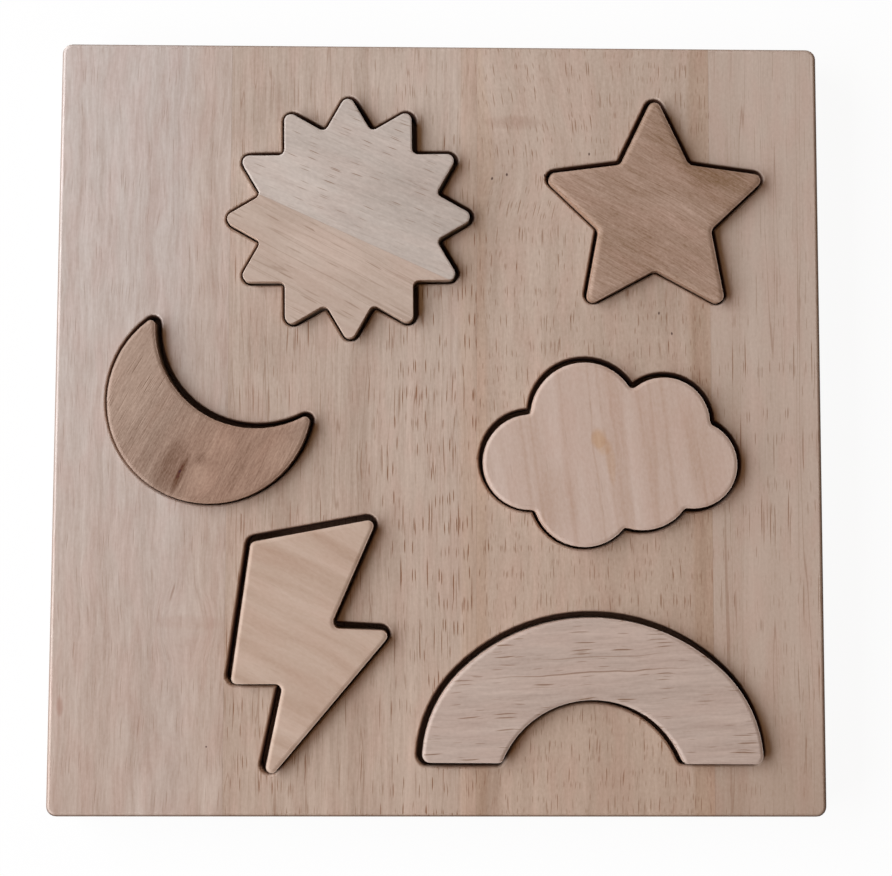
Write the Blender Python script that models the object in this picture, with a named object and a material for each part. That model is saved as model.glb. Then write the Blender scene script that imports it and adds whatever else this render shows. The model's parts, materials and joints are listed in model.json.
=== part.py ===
"""A wooden tray puzzle: six chunky figures that lift out of pockets routed into an edge-glued board.

Metres, +Z up. The origin is on the underside, at the middle of the board. The board's width runs along
X, and the grain and the glue lines of its staves run along Y.
"""

import math
from collections import namedtuple

import bmesh
import bpy

# The board, glued up from four staves side by side. Pockets stop short of the underside.
LEFT_STAVE_WIDTH = 0.067
INNER_LEFT_STAVE_WIDTH = 0.0965
INNER_RIGHT_STAVE_WIDTH = 0.0915
RIGHT_STAVE_WIDTH = 0.043
BOARD_LENGTH = 0.300
FLOOR_THICKNESS = 0.005
POCKET_DEPTH = 0.010
BOARD_CORNER_RADIUS = 0.004
BOARD_EDGE_RADIUS = 0.0018
GLUE_LINE = 0.00003

# The figures, sawn from one thickness of wood, and how they sit in their pockets.
FIGURE_THICKNESS = 0.013
FIGURE_EDGE_RADIUS = 0.0012
SEAT_GAP = 0.0003
SIDE_GAP = 0.0003
POCKET_CLEARANCE = 0.0012
LOOSE_CLEARANCE = 0.0016
POCKET_RIM_RADIUS = 0.0012

# The sun: rays with straight flanks, cut from two boards glued together on a slant.
SUN_RAYS = 12
SUN_RADIUS = 0.0497
SUN_RAY_ANGLE = math.radians(60)
SUN_TIP_RADIUS = 0.0026
SUN_NOTCH_RADIUS = 0.0024
SUN_EDGE_RADIUS = 0.0006
SUN_FROM_LEFT = 0.1139
SUN_FROM_TOP = 0.0692
SUN_SPIN = math.radians(0.85)
SUN_SEAM_ANGLE = math.radians(-25)
SUN_SEAM_OFFSET = -0.006

# The star.
STAR_RAYS = 5
STAR_RADIUS = 0.0467
STAR_RAY_ANGLE = math.radians(51.2)
STAR_TIP_RADIUS = 0.0025
STAR_NOTCH_RADIUS = 0.003
STAR_FROM_RIGHT = 0.0647
STAR_FROM_TOP = 0.0656

# The moon: a disc with a bite out of it. The bite's centre lies on the figure's own +X axis.
MOON_RADIUS = 0.0394
MOON_BITE_RADIUS = 0.0392
MOON_BITE_OFFSET = 0.0339
MOON_TIP_RADIUS = 0.0018
MOON_FROM_LEFT = 0.0607
MOON_ABOVE_MIDDLE = 0.0092
MOON_SPIN = math.radians(57.9)

# The cloud: round lobes, each as (x, y, radius) from the left lobe's centre, anticlockwise.
CLOUD_LOBES = (
    (0.0, 0.0, 0.0184),
    (0.0205, -0.0133, 0.0195),
    (0.0430, -0.0065, 0.0200),
    (0.0628, -0.0013, 0.0170),
    (0.0518, 0.0147, 0.0178),
    (0.0210, 0.0179, 0.0206),
)
CLOUD_NOTCH_RADIUS = 0.002
CLOUD_FROM_RIGHT = 0.1134
CLOUD_BELOW_MIDDLE = 0.0137
CLOUD_SPIN = math.radians(0.2)

# The lightning bolt: its corners as (x, y, radius) from its centre, anticlockwise from the top right.
BOLT_CORNERS = (
    (0.0258, 0.0490, 0.0022),
    (-0.0226, 0.0401, 0.0022),
    (-0.0300, -0.0138, 0.0022),
    (-0.0099, -0.0138, 0.0025),
    (-0.0180, -0.0530, 0.0022),
    (0.0320, 0.0061, 0.0022),
    (0.0078, 0.0073, 0.0025),
)
BOLT_FROM_LEFT = 0.0992
BOLT_FROM_BOTTOM = 0.0650

# The rainbow: a three-centred arch over a round opening. Its centre is the middle of its base line.
RAINBOW_HALF_WIDTH = 0.0651
RAINBOW_RISE = 0.0550
RAINBOW_CROWN_RADIUS = 0.0724
RAINBOW_OPENING_HALF_WIDTH = 0.0348
RAINBOW_OPENING_RISE = 0.0239
RAINBOW_OUTER_FOOT_RADIUS = 0.003
RAINBOW_INNER_FOOT_RADIUS = 0.0016
RAINBOW_FROM_RIGHT = 0.0905
RAINBOW_FROM_BOTTOM = 0.0212
RAINBOW_SPIN = math.radians(0.4)

# How finely curves are drawn, and how far helpers reach past what they cut.
CHORD_ERROR = 0.00005
FIGURE_EDGE_STEPS = 2
POCKET_RIM_STEPS = 2
BOARD_EDGE_STEPS = 4
SMALLEST_RADIUS = 0.0002
MERGE_DISTANCE = 1e-6
OVERSHOOT = 0.005

BOARD_WIDTH = LEFT_STAVE_WIDTH + INNER_LEFT_STAVE_WIDTH + INNER_RIGHT_STAVE_WIDTH + RIGHT_STAVE_WIDTH
BOARD_THICKNESS = FLOOR_THICKNESS + POCKET_DEPTH
RIGHT_EDGE = BOARD_WIDTH / 2
LEFT_EDGE = -RIGHT_EDGE
TOP_EDGE = BOARD_LENGTH / 2
BOTTOM_EDGE = -TOP_EDGE

Arc = namedtuple("Arc", "centre radius start sweep")
Stave = namedtuple("Stave", "name width colour roughness")
Figure = namedtuple("Figure", "name outline edge_radius centre spin clearance lean turn colour roughness")


def polar(centre, radius, angle):
    return centre[0] + radius * math.cos(angle), centre[1] + radius * math.sin(angle)


def angle_to(centre, point):
    return math.atan2(point[1] - centre[1], point[0] - centre[0])


def grown_radius(radius, growth):
    """A corner's radius once its outline has moved, which never shrinks to nothing."""
    return max(radius + growth, SMALLEST_RADIUS)


def convex_arc(centre, radius, first, last):
    """The arc from the direction of first to that of last, anticlockwise."""
    start = angle_to(centre, first)
    return Arc(centre, radius, start, (angle_to(centre, last) - start) % math.tau)


def concave_arc(centre, radius, first, last):
    """The arc from the direction of first to that of last, clockwise."""
    start = angle_to(centre, first)
    return Arc(centre, radius, start, -((start - angle_to(centre, last)) % math.tau))


def meeting_point(first, first_radius, second, second_radius):
    """Where two circles meet, to the right of the way from the first centre to the second."""
    apart = math.dist(first, second)
    along = (apart**2 + first_radius**2 - second_radius**2) / (2 * apart)
    beside = math.sqrt(first_radius**2 - along**2)
    heading = angle_to(first, second)
    return polar(polar(first, along, heading), beside, heading - math.pi / 2)


def rounded_polygon(corners, grow):
    """Arcs that round the (x, y, radius) corners of an anticlockwise polygon moved out by grow."""
    arcs = []
    for index, (x, y, radius) in enumerate(corners):
        before = corners[index - 1]
        after = corners[(index + 1) % len(corners)]
        heading_in = angle_to(before, (x, y))
        turn = (angle_to((x, y), after) - heading_in + math.pi) % math.tau - math.pi
        side = math.copysign(1, turn)
        rounded = grown_radius(radius, side * grow)
        outward = heading_in + turn / 2 - math.pi / 2
        centre = polar((x, y), (grow - side * rounded) / math.cos(turn / 2), outward)
        arcs.append(Arc(centre, rounded, heading_in - side * math.pi / 2, turn))
    return arcs


def rayed(rays, radius, ray_angle, tip_radius, notch_radius, grow):
    """A regular star whose rays end in points of ray_angle, the first pointing along +Y."""
    half_step = math.pi / rays
    notch_distance = radius * math.sin(ray_angle / 2) / math.sin(ray_angle / 2 + half_step)
    corners = []
    for ray in range(rays):
        heading = math.pi / 2 + 2 * ray * half_step
        corners.append((*polar((0, 0), radius, heading), tip_radius))
        corners.append((*polar((0, 0), notch_distance, heading + half_step), notch_radius))
    return rounded_polygon(corners, grow)


def board_outline(grow):
    corners = [
        (RIGHT_EDGE, TOP_EDGE, BOARD_CORNER_RADIUS),
        (LEFT_EDGE, TOP_EDGE, BOARD_CORNER_RADIUS),
        (LEFT_EDGE, BOTTOM_EDGE, BOARD_CORNER_RADIUS),
        (RIGHT_EDGE, BOTTOM_EDGE, BOARD_CORNER_RADIUS),
    ]
    return rounded_polygon(corners, grow)


def sun_outline(grow):
    return rayed(SUN_RAYS, SUN_RADIUS, SUN_RAY_ANGLE, SUN_TIP_RADIUS, SUN_NOTCH_RADIUS, grow)


def star_outline(grow):
    return rayed(STAR_RAYS, STAR_RADIUS, STAR_RAY_ANGLE, STAR_TIP_RADIUS, STAR_NOTCH_RADIUS, grow)


def moon_outline(grow):
    disc = (0, 0)
    bite = (MOON_BITE_OFFSET, 0)
    radius = MOON_RADIUS + grow
    bite_radius = MOON_BITE_RADIUS - grow
    tip_radius = MOON_TIP_RADIUS + grow
    lower = meeting_point(disc, radius - tip_radius, bite, bite_radius + tip_radius)
    upper = (lower[0], -lower[1])
    lower_inside = polar(bite, bite_radius, angle_to(bite, lower))
    upper_inside = polar(bite, bite_radius, angle_to(bite, upper))
    lower_outside = polar(disc, radius, angle_to(disc, lower))
    upper_outside = polar(disc, radius, angle_to(disc, upper))
    return [
        convex_arc(disc, radius, upper_outside, lower_outside),
        convex_arc(lower, tip_radius, lower_outside, lower_inside),
        concave_arc(bite, bite_radius, lower_inside, upper_inside),
        convex_arc(upper, tip_radius, upper_inside, upper_outside),
    ]


def cloud_outline(grow):
    """The lobes, with a small fillet in each notch between neighbours."""
    notch = grown_radius(CLOUD_NOTCH_RADIUS, -grow)
    lobes = [((x, y), radius + grow) for x, y, radius in CLOUD_LOBES]
    fillets = []
    for (centre, radius), (next_centre, next_radius) in zip(lobes, lobes[1:] + lobes[:1]):
        fillets.append(meeting_point(centre, radius + notch, next_centre, next_radius + notch))
    arcs = []
    for index, (centre, radius) in enumerate(lobes):
        fillet = fillets[index]
        next_centre = lobes[(index + 1) % len(lobes)][0]
        arcs.append(convex_arc(centre, radius, fillets[index - 1], fillet))
        arcs.append(concave_arc(fillet, notch, centre, next_centre))
    return arcs


def bolt_outline(grow):
    return rounded_polygon(BOLT_CORNERS, grow)


def rainbow_outline(grow):
    """Crown and haunches meet in line, and each haunch stands upright on the base line."""
    half_width = RAINBOW_HALF_WIDTH + grow
    crown_radius = RAINBOW_CROWN_RADIUS + grow
    crown = (0, RAINBOW_RISE - RAINBOW_CROWN_RADIUS)
    haunch_radius = (crown_radius**2 - half_width**2 - crown[1] ** 2) / (2 * (crown_radius - half_width))
    haunch = (half_width - haunch_radius, 0)
    foot_radius = RAINBOW_OUTER_FOOT_RADIUS + grow
    foot_height = foot_radius - grow
    foot = (haunch[0] + math.sqrt((haunch_radius - foot_radius) ** 2 - foot_height**2), foot_height)

    nominal_radius = (RAINBOW_OPENING_HALF_WIDTH**2 + RAINBOW_OPENING_RISE**2) / (2 * RAINBOW_OPENING_RISE)
    opening = (0, RAINBOW_OPENING_RISE - nominal_radius)
    opening_radius = nominal_radius - grow
    heel_radius = RAINBOW_INNER_FOOT_RADIUS + grow
    heel_height = heel_radius - grow
    reach = math.sqrt((opening_radius + heel_radius) ** 2 - (heel_height - opening[1]) ** 2)
    heel = (reach, heel_height)

    foot_end = polar(foot, foot_radius, angle_to(haunch, foot))
    haunch_end = polar(haunch, haunch_radius, angle_to(crown, haunch))
    right_half = [
        convex_arc(heel, heel_radius, opening, (reach, -heel_radius)),
        convex_arc(foot, foot_radius, (foot[0], -foot_radius), foot_end),
        convex_arc(haunch, haunch_radius, foot, haunch_end),
    ]
    left_half = [mirrored(arc) for arc in reversed(right_half)]
    crown_arc = convex_arc(crown, crown_radius, haunch, (-haunch[0], 0))
    opening_arc = concave_arc(opening, opening_radius, (-reach, heel_height), heel)
    return right_half + [crown_arc] + left_half + [opening_arc]


def mirrored(arc):
    """The same arc across the Y axis, still running anticlockwise."""
    x, y = arc.centre
    return Arc((-x, y), arc.radius, math.pi - arc.start - arc.sweep, arc.sweep)


def ring(outline, grow):
    """Points round an outline moved out by grow: the same number for every value of grow."""
    points = []
    for nominal, arc in zip(outline(0), outline(grow)):
        step = 2 * math.acos(1 - CHORD_ERROR / nominal.radius)
        count = math.ceil(abs(nominal.sweep) / step)
        for index in range(count + 1):
            points.append(polar(arc.centre, arc.radius, arc.start + arc.sweep * index / count))
    return points


def loft(name, outline, levels):
    """A closed solid through the outline at each (height, grow) level, from the lowest up."""
    solid = bmesh.new()
    rings = []
    for height, grow in levels:
        rings.append([solid.verts.new((x, y, height)) for x, y in ring(outline, grow)])
    solid.faces.new(reversed(rings[0]))
    solid.faces.new(rings[-1])
    for lower, upper in zip(rings, rings[1:]):
        for index in range(len(lower)):
            solid.faces.new((lower[index - 1], lower[index], upper[index], upper[index - 1]))
    bmesh.ops.remove_doubles(solid, verts=solid.verts, dist=MERGE_DISTANCE)
    return finished(name, solid)


def block(name, low, high):
    """A plain box between two opposite corners."""
    solid = bmesh.new()
    bmesh.ops.create_cube(solid, size=1)
    for vertex in solid.verts:
        vertex.co = [low[axis] if vertex.co[axis] < 0 else high[axis] for axis in range(3)]
    return finished(name, solid)


def finished(name, solid):
    """An object made from a bmesh, smooth except at its edges."""
    mesh = bpy.data.meshes.new(name)
    solid.to_mesh(mesh)
    solid.free()
    mesh.shade_smooth()
    mesh.set_sharp_from_angle(angle=math.radians(40))
    built = bpy.data.objects.new(name, mesh)
    bpy.context.scene.collection.objects.link(built)
    return built


def helper(built):
    """Keeps a cutter or a guide out of the render."""
    built.hide_render = True
    built.display_type = "WIRE"
    return built


def add_boolean(target, operation, operand):
    modifier = target.modifiers.new(operand.name, "BOOLEAN")
    modifier.operation = operation
    modifier.object = operand
    modifier.solver = "EXACT"


def add_wood(built, colour, roughness):
    wood = bpy.data.materials.new(built.name)
    wood.use_nodes = True
    principled = wood.node_tree.nodes["Principled BSDF"]
    principled.inputs["Base Color"].default_value = (*colour, 1)
    principled.inputs["Roughness"].default_value = roughness
    principled.inputs["Metallic"].default_value = 0
    built.data.materials.append(wood)


def quarter_round(radius, steps):
    """How far in and how far along a quarter of a circle has come after each step."""
    angles = [math.pi / 2 * step / steps for step in range(steps + 1)]
    return [(radius * (1 - math.cos(angle)), radius * math.sin(angle)) for angle in angles]


def rounded_slab(thickness, edge_radius, steps):
    """Levels of a slab whose top and bottom edges are both rounded over."""
    lower = [(height, reach - edge_radius) for height, reach in quarter_round(edge_radius, steps)]
    upper = [(thickness - height, grow) for height, grow in reversed(lower)]
    return lower + upper


def pocket_cutter(figure):
    """The hollow for a figure: its outline with clearance, opening out at the rounded rim."""
    rim_start = BOARD_THICKNESS - POCKET_RIM_RADIUS
    levels = [(FLOOR_THICKNESS, figure.clearance)]
    for outward, upward in quarter_round(POCKET_RIM_RADIUS, POCKET_RIM_STEPS):
        levels.append((rim_start + upward, figure.clearance + outward))
    levels.append((BOARD_THICKNESS + OVERSHOOT, figure.clearance + POCKET_RIM_RADIUS))
    cutter = helper(loft(figure.name + "_pocket", figure.outline, levels))
    cutter.location = (*figure.centre, 0)
    cutter.rotation_euler.z = figure.spin
    return cutter


def make_board(staves, figures):
    """Each stave is a strip of one rounded blank, with every pocket cut out of it."""
    levels = rounded_slab(BOARD_THICKNESS, BOARD_EDGE_RADIUS, BOARD_EDGE_STEPS)
    blank = helper(loft("board_blank", board_outline, levels))
    pockets = [pocket_cutter(figure) for figure in figures]
    seam = LEFT_EDGE
    for stave in staves:
        left = seam + GLUE_LINE / 2
        right = seam + stave.width - GLUE_LINE / 2
        if stave is staves[0]:
            left -= OVERSHOOT
        if stave is staves[-1]:
            right += OVERSHOOT
        low = (left, BOTTOM_EDGE - OVERSHOOT, -OVERSHOOT)
        high = (right, TOP_EDGE + OVERSHOOT, BOARD_THICKNESS + OVERSHOOT)
        strip = block(stave.name, low, high)
        add_boolean(strip, "INTERSECT", blank)
        for pocket in pockets:
            add_boolean(strip, "DIFFERENCE", pocket)
        add_wood(strip, stave.colour, stave.roughness)
        seam += stave.width


def seated_place(figure):
    """Where a figure rests: on its pocket's floor, slid over towards one side of it."""
    play = figure.clearance - SIDE_GAP
    x = figure.centre[0] + play * figure.lean[0]
    y = figure.centre[1] + play * figure.lean[1]
    return x, y, FLOOR_THICKNESS + SEAT_GAP


def figure_slab(name, figure):
    levels = rounded_slab(FIGURE_THICKNESS, figure.edge_radius, FIGURE_EDGE_STEPS)
    return loft(name, figure.outline, levels)


def make_figure(figure):
    built = figure_slab(figure.name, figure)
    built.location = seated_place(figure)
    built.rotation_euler.z = figure.spin + figure.turn
    add_wood(built, figure.colour, figure.roughness)


def make_sun(figure, halves):
    """The sun's two glued halves stand on one centre, each cut off along the slanting seam."""
    centre = bpy.data.objects.new(figure.name + "_centre", None)
    centre.location = seated_place(figure)
    centre.rotation_euler.z = figure.spin + figure.turn
    bpy.context.scene.collection.objects.link(centre)
    reach = SUN_RADIUS + OVERSHOOT
    top = FIGURE_THICKNESS + OVERSHOOT
    for name, seam_angle, offset, colour in halves:
        half = figure_slab(name, figure)
        low = (-2 * reach, -2 * reach, -OVERSHOOT)
        far_side = helper(block(name + "_cut", low, (2 * reach, offset + GLUE_LINE / 2, top)))
        far_side.rotation_euler.z = seam_angle
        for part in (half, far_side):
            part.parent = centre
        add_boolean(half, "DIFFERENCE", far_side)
        add_wood(half, colour, figure.roughness)


def main():
    for old in list(bpy.data.objects):
        bpy.data.objects.remove(old)

    staves = [
        Stave("board_stave_left", LEFT_STAVE_WIDTH, (0.50, 0.40, 0.34), 0.62),
        Stave("board_stave_inner_left", INNER_LEFT_STAVE_WIDTH, (0.46, 0.35, 0.285), 0.60),
        Stave("board_stave_inner_right", INNER_RIGHT_STAVE_WIDTH, (0.445, 0.325, 0.262), 0.60),
        Stave("board_stave_right", RIGHT_STAVE_WIDTH, (0.43, 0.325, 0.265), 0.60),
    ]
    pale_wood = (0.45, 0.35, 0.29)
    warm_wood = (0.50, 0.36, 0.285)
    beige_wood = (0.49, 0.355, 0.287)
    brown_wood = (0.32, 0.205, 0.15)
    sun = Figure(
        name="sun",
        outline=sun_outline,
        edge_radius=SUN_EDGE_RADIUS,
        centre=(LEFT_EDGE + SUN_FROM_LEFT, TOP_EDGE - SUN_FROM_TOP),
        spin=SUN_SPIN,
        clearance=POCKET_CLEARANCE,
        lean=(-0.5, -0.5),
        turn=0,
        colour=pale_wood,
        roughness=0.55,
    )
    star = Figure(
        name="star",
        outline=star_outline,
        edge_radius=FIGURE_EDGE_RADIUS,
        centre=(RIGHT_EDGE - STAR_FROM_RIGHT, TOP_EDGE - STAR_FROM_TOP),
        spin=0,
        clearance=POCKET_CLEARANCE,
        lean=(-0.3, -0.95),
        turn=0,
        colour=brown_wood,
        roughness=0.50,
    )
    moon = Figure(
        name="moon",
        outline=moon_outline,
        edge_radius=FIGURE_EDGE_RADIUS,
        centre=(LEFT_EDGE + MOON_FROM_LEFT, MOON_ABOVE_MIDDLE),
        spin=MOON_SPIN,
        clearance=POCKET_CLEARANCE,
        lean=(-0.35, -0.93),
        turn=math.radians(0.3),
        colour=brown_wood,
        roughness=0.50,
    )
    cloud = Figure(
        name="cloud",
        outline=cloud_outline,
        edge_radius=FIGURE_EDGE_RADIUS,
        centre=(RIGHT_EDGE - CLOUD_FROM_RIGHT, -CLOUD_BELOW_MIDDLE),
        spin=CLOUD_SPIN,
        clearance=LOOSE_CLEARANCE,
        lean=(-0.2, -0.7),
        turn=math.radians(0.4),
        colour=beige_wood,
        roughness=0.55,
    )
    bolt = Figure(
        name="lightning_bolt",
        outline=bolt_outline,
        edge_radius=FIGURE_EDGE_RADIUS,
        centre=(LEFT_EDGE + BOLT_FROM_LEFT, BOTTOM_EDGE + BOLT_FROM_BOTTOM),
        spin=0,
        clearance=LOOSE_CLEARANCE,
        lean=(0.45, -0.5),
        turn=math.radians(0.3),
        colour=warm_wood,
        roughness=0.55,
    )
    rainbow = Figure(
        name="rainbow",
        outline=rainbow_outline,
        edge_radius=FIGURE_EDGE_RADIUS,
        centre=(RIGHT_EDGE - RAINBOW_FROM_RIGHT, BOTTOM_EDGE + RAINBOW_FROM_BOTTOM),
        spin=RAINBOW_SPIN,
        clearance=LOOSE_CLEARANCE,
        lean=(0.35, -0.33),
        turn=math.radians(-0.6),
        colour=pale_wood,
        roughness=0.58,
    )
    figures = [star, moon, cloud, bolt, rainbow]
    make_board(staves, [sun, *figures])
    halves = [
        ("sun_upper_half", SUN_SEAM_ANGLE, SUN_SEAM_OFFSET, (0.505, 0.42, 0.37)),
        ("sun_lower_half", SUN_SEAM_ANGLE + math.pi, -SUN_SEAM_OFFSET, (0.495, 0.38, 0.317)),
    ]
    make_sun(sun, halves)
    for figure in figures:
        make_figure(figure)


if __name__ == "__main__":
    main()
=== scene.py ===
"""Looks for a wooden tray puzzle: a board of glued staves and six thick figures of light wood."""

import json
import math

import bmesh
import bpy
from bpy.props import FloatProperty, FloatVectorProperty, IntProperty, PointerProperty
from bpy.types import Operator, Panel, PropertyGroup
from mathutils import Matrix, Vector

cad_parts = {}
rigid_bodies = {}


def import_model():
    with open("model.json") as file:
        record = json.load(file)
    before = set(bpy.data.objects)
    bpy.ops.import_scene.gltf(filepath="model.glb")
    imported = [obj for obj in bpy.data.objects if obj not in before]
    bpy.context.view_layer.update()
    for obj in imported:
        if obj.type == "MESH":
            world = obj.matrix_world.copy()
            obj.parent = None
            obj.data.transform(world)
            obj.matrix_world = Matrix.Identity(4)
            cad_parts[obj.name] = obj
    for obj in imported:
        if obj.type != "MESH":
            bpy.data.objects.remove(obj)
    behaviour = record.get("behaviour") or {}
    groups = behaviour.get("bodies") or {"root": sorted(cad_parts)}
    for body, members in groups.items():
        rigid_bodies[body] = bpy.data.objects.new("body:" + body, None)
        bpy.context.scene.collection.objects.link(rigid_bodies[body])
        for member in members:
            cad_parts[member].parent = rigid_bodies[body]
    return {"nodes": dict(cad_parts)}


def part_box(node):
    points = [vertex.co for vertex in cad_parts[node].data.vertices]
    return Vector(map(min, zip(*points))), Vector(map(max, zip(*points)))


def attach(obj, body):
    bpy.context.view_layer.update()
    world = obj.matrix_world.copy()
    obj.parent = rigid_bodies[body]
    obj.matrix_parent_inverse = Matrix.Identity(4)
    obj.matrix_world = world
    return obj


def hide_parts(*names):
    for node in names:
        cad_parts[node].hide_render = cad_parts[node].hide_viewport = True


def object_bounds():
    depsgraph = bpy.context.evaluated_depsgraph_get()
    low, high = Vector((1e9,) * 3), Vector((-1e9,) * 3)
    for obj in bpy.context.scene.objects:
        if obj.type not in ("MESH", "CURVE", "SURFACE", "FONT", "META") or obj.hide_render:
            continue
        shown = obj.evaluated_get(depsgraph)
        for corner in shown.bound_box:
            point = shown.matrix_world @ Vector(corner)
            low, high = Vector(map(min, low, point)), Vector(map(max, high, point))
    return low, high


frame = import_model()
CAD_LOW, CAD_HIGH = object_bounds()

bl_info = {
    "name": "Wooden Tray Puzzle",
    "version": (1, 0, 0),
    "blender": (4, 5, 0),
    "location": "3D View > Sidebar > Puzzle",
    "description": "Dresses a wooden tray puzzle: its glued board and its six loose figures",
    "category": "Object",
}

MILLIMETRE = 0.001
HALF_LENGTH = CAD_HIGH.y / MILLIMETRE
BOARD_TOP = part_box("board_stave_left")[1].z
MERGE_DISTANCE = 1e-6
MERGE_ANGLE = math.radians(0.2)
CREASE = math.radians(50)
CROWN_SEGMENTS = 4
# How far a level face's normal points up at least, and an upright face's at most.
LEVEL = 0.999
UPRIGHT = 0.001
# Every pattern is read this many cells further along, so that no two are alike.
SEED_STEP = 7.3
# A stroke reaches this far from its cell's point, in cells, and is fully dark within this share of it.
STROKE_REACH = 0.36
STROKE_CORE = 0.45
# How far fibres stand up and strokes are sunk, as shares of the relief's depth in millimetres.
FIBRE_RELIEF = 0.15
STROKE_RELIEF = 0.5
RELIEF_DEPTH = 0.03
# How rough the board and the figures are, and how much rougher on a fibre.
BOARD_ROUGHNESS = 0.62
FIGURE_ROUGHNESS = 0.60
FIBRE_ROUGHNESS = 0.04
# How strongly the sanded, oiled wood reflects.
SPECULAR = 0.35


def colour(name, description, default):
    return FloatVectorProperty(
        name=name, description=description, subtype="COLOR", size=3, min=0, max=1, default=default
    )


def pale(name, default):
    return colour(name + ", pale", "Its spring wood", default)


def dark(name, default):
    return colour(name + ", dark", "Its summer wood", default)


def grain(name, degrees):
    return FloatProperty(
        name=name + ", grain",
        description="Direction of its grain, turned from the board's width",
        subtype="ANGLE",
        unit="ROTATION",
        default=math.radians(degrees),
    )


def length(name, description, default):
    return FloatProperty(
        name=name, description=description, subtype="DISTANCE", unit="LENGTH", precision=5, default=default
    )


def crown(name, default):
    return length(name + ", crown", "Width of the band that falls off along its edge", default)


def place(name, description, default):
    return FloatVectorProperty(
        name=name, description=description, subtype="XYZ", unit="LENGTH", size=3, default=default
    )


class BoardSettings(PropertyGroup):
    left_pale: pale("Left stave", (0.546, 0.480, 0.434))
    left_dark: dark("Left stave", (0.430, 0.350, 0.302))
    inner_left_pale: pale("Inner left stave", (0.512, 0.416, 0.344))
    inner_left_dark: dark("Inner left stave", (0.395, 0.303, 0.239))
    inner_right_pale: pale("Inner right stave", (0.520, 0.416, 0.338))
    inner_right_dark: dark("Inner right stave", (0.401, 0.303, 0.234))
    right_pale: pale("Right stave", (0.535, 0.437, 0.365))
    right_dark: dark("Right stave", (0.415, 0.317, 0.248))
    # Painted shade and warmth of the light: the wood darkens and warms towards the bottom of the board.
    foot_painted_shade: colour("Tint towards the bottom", "How the wood deepens down the board", (0.94, 0.885, 0.84))
    # End grain and painted shade: the rims and sides darken, which tones down their bright rounded edges.
    end_grain_and_painted_shade: colour("Tint of the rims", "How end grain and rubbed edges deepen", (0.50, 0.44, 0.39))
    # Painted shade: the pockets darken towards their floors.
    pocket_painted_shade: colour("Tint of the pockets", "How wood deepens towards their floors", (0.30, 0.20, 0.15))
    # Painted shade: the pockets' walls and rims near the top darken, so that the gaps round the figures look
    # dark.
    gap_painted_shade: colour("Scorch of the pockets", "How the cutter has browned their walls", (0.22, 0.12, 0.08))
    stroke: colour("Strokes", "The short brown vessels in every stave", (0.225, 0.115, 0.058))
    speck: colour("Specks", "The few small dark specks and knots", (0.070, 0.035, 0.025))
    blush: colour("Blush", "The faint pink clouds in the wood", (1.0, 0.955, 0.95))
    warmth: colour("Warm bands", "How the warmer bands of a stave differ", (0.985, 0.94, 0.90))
    knot: colour("Knots", "The reddish knot and patches of cross grain", (0.330, 0.180, 0.130))


class FigureSettings(PropertyGroup):
    edge_radius: length("Edge round-over", "Radius of the figures' top and bottom edges", 0.0006)
    edge_segments: IntProperty(
        name="Edge segments", description="Faces across each round-over", min=1, max=12, default=4
    )
    crown_fall: FloatProperty(
        name="Crown fall",
        description="Drop of a figure's top at its edge for each unit of the crown's width",
        default=0.22,
    )
    sun_crown: crown("Sun", 0.0007)
    star_crown: crown("Star", 0.0021)
    moon_crown: crown("Moon", 0.0015)
    cloud_crown: crown("Cloud", 0.0016)
    bolt_crown: crown("Bolt", 0.0017)
    rainbow_crown: crown("Rainbow", 0.0018)
    sun_upper_pale: pale("Sun, upper half", (0.552, 0.485, 0.428))
    sun_upper_dark: dark("Sun, upper half", (0.408, 0.350, 0.304))
    sun_lower_pale: pale("Sun, lower half", (0.531, 0.425, 0.349))
    sun_lower_dark: dark("Sun, lower half", (0.409, 0.309, 0.242))
    sun_upper_grain: grain("Sun, upper half", -22)
    sun_lower_grain: grain("Sun, lower half", -28)
    star_pale: pale("Star", (0.394, 0.274, 0.206))
    star_dark: dark("Star", (0.240, 0.147, 0.091))
    star_grain: grain("Star", -30)
    moon_pale: pale("Moon", (0.372, 0.263, 0.198))
    moon_dark: dark("Moon", (0.205, 0.125, 0.084))
    moon_warmth: colour("Moon, warm side", "How its wood warms towards the right tip", (0.96, 0.87, 0.82))
    moon_grain: grain("Moon", 62)
    cloud_pale: pale("Cloud", (0.562, 0.442, 0.371))
    cloud_dark: dark("Cloud", (0.442, 0.304, 0.229))
    cloud_knot: colour("Cloud, knot", "How its small knot deepens the wood", (0.93, 0.80, 0.64))
    cloud_grain: grain("Cloud", 97)
    bolt_pale: pale("Bolt", (0.534, 0.406, 0.319))
    bolt_dark: dark("Bolt", (0.412, 0.284, 0.205))
    bolt_grain: grain("Bolt", -28)
    rainbow_pale: pale("Rainbow", (0.524, 0.420, 0.356))
    rainbow_dark: dark("Rainbow", (0.402, 0.312, 0.260))
    rainbow_grain: grain("Rainbow", 3)
    blush: colour("Blush", "The faint pink clouds in the wood", (1.0, 0.975, 0.97))
    # End grain and painted shade: the figures' rounded edges and sides darken, which tones down their
    # highlights.
    end_grain_and_painted_shade: colour("Tint of the edges", "How handled edges and end grain deepen", (0.74, 0.66, 0.60))
    stroke: colour("Strokes", "The short brown vessels in the figures", (0.205, 0.115, 0.064))


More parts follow.
